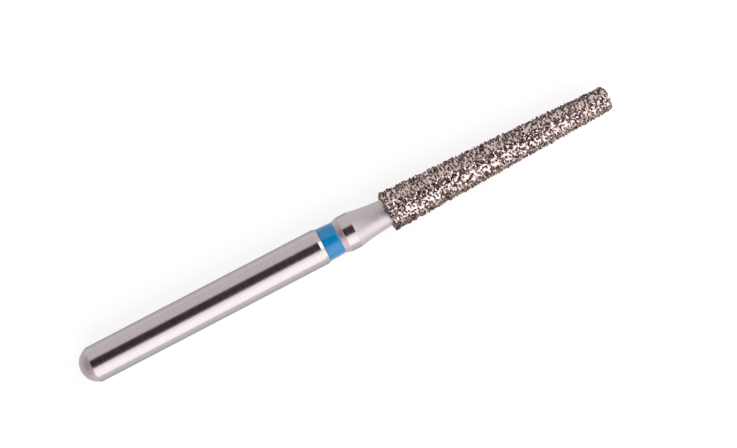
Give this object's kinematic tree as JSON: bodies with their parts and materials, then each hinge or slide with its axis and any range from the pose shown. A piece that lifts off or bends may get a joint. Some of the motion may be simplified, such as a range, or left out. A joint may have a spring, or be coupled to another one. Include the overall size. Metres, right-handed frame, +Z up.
{
  "type": "dental bur",
  "caption": "Friction-grip diamond bur, extra long, with a flat-ended tapered head and a blue grit ring.",
  "frame": {"origin": "the middle of the domed butt, where the bur meets the stop at the back of the chuck", "axes": "+X along the bur's axis, from the butt to the tip of the head; +Z up, with the bur lying level"},
  "size_m": [0.025, 0.0018, 0.0018],
  "materials": {
    "steel": "ground and polished shank and collar, satin neck, matt domed butt",
    "ring": "glossy blue lacquer",
    "diamond_coat": "rough layer of diamond crystals in plated nickel, brownish grey with sparkle"
  },
  "bodies": {
    "root": {"steel_blank": "steel", "colour_ring": "ring", "diamond_coat": "diamond_coat"}
  },
  "joints": []
}
